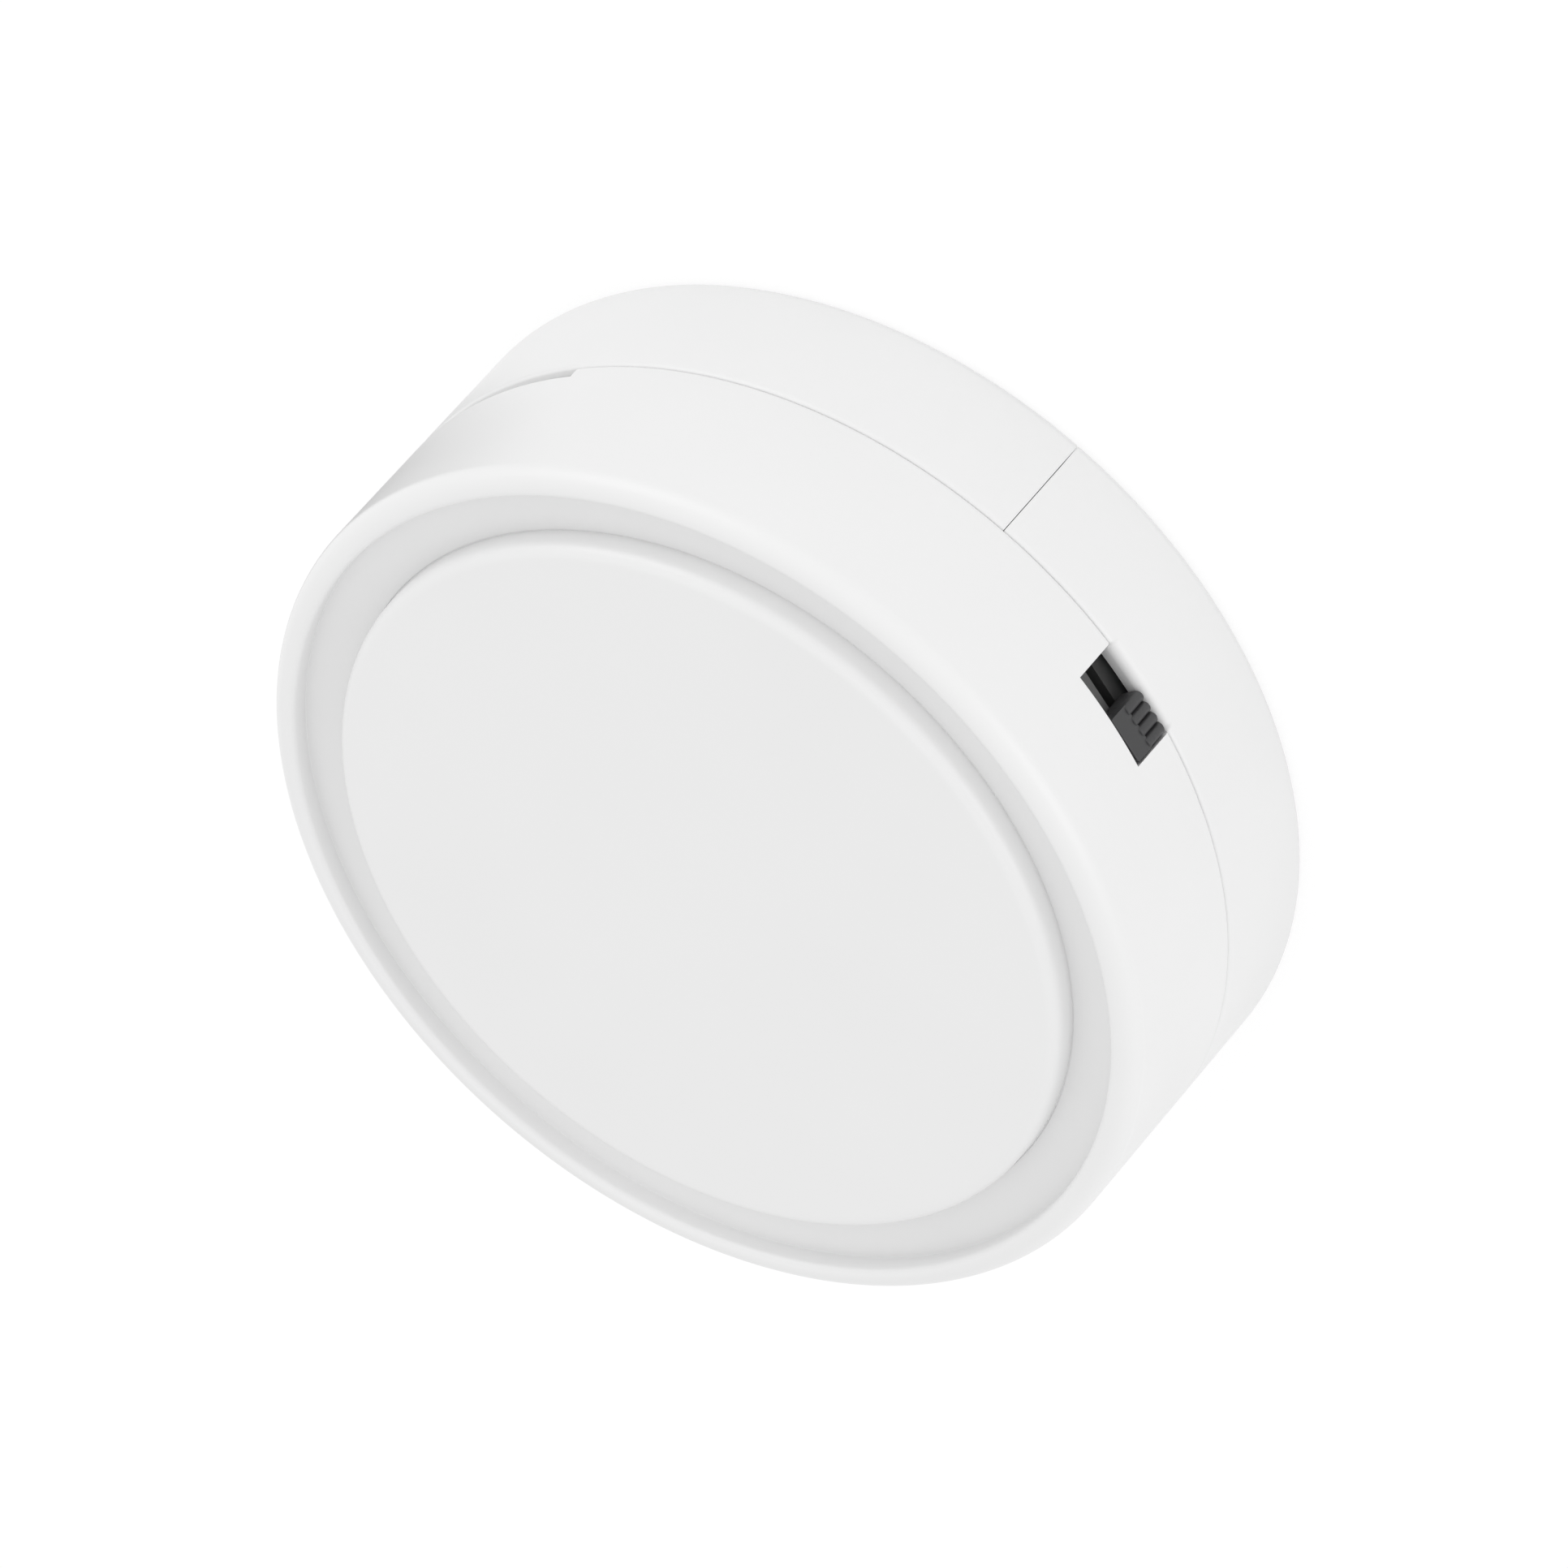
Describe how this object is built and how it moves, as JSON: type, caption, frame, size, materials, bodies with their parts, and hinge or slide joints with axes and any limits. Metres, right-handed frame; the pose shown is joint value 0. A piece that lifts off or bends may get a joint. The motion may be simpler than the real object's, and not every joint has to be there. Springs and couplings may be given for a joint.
{
  "type": "vibration sensor tag",
  "caption": "Round white sensor tag: a rimmed puck with a raised press disc in a groove, a ridged slide switch in its side and a sliding battery door in its rear.",
  "frame": {"origin": "centre of the flat rear face", "axes": "+Z out of the front through the press disc, +X towards the middle of the battery door, +Y at right angles to both; the tag lies on its rear face"},
  "size_m": [0.04, 0.04, 0.0139],
  "materials": {
    "shell_plastic": "white moulded plastic, fine satin",
    "board_laminate": "green solder mask",
    "black_plastic": "black moulded plastic",
    "grey_plastic": "dark grey moulded plastic",
    "plated_steel": "nickel-plated steel",
    "gilt_brass": "gold-plated brass",
    "chip_ceramic": "fired ceramic",
    "cell_pellet": "pressed powder"
  },
  "bodies": {
    "housing": {"front_shell": "shell_plastic", "rear_shell": "shell_plastic", "main_board": "board_laminate", "slide_switch_base": "black_plastic", "slide_switch_frame": "plated_steel", "slide_switch_terminals": "gilt_brass", "tact_switch_base": "black_plastic", "tact_switch_cover": "plated_steel", "vibration_sensor_case": "plated_steel", "vibration_sensor_base": "black_plastic", "vibration_sensor_leads": "gilt_brass", "vibration_sensor_spring": "plated_steel", "radio_chip": "black_plastic", "crystal": "plated_steel", "chip_antenna": "chip_ceramic", "chip_capacitors": "chip_ceramic", "coin_cell_can": "plated_steel", "coin_cell_cap": "plated_steel", "coin_cell_gasket": "black_plastic", "coin_cell_core": "cell_pellet", "battery_holder": "black_plastic", "battery_positive_clip": "plated_steel", "battery_negative_contact": "gilt_brass", "case_screws": "plated_steel", "board_screws": "plated_steel"},
    "button": {"front_button": "shell_plastic"},
    "plunger": {"tact_switch_plunger": "grey_plastic"},
    "switch_knob": {"slide_switch_knob": "grey_plastic"},
    "door": {"battery_door": "shell_plastic"}
  },
  "joints": [
    {"name": "button_press", "type": "slide", "parent": "housing", "child": "button", "axis": [0, 0, -1], "range_m": [0, 0.00025], "stiffness_N_per_m": 4000, "springref_m": -0.0002},
    {"name": "plunger_press", "type": "slide", "parent": "housing", "child": "plunger", "axis": [0, 0, -1], "range_m": [0, 0.00025]},
    {"name": "power_switch", "type": "slide", "parent": "housing", "child": "switch_knob", "axis": [0.9157, -0.4019, 0], "range_m": [0, 0.0021]},
    {"name": "door_slide", "type": "slide", "parent": "housing", "child": "door", "axis": [1, 0, 0], "range_m": [0, 0.016]}
  ],
  "couplings": [
    {"joint": "plunger_press", "follows": "button_press", "ratio": 1}
  ]
}
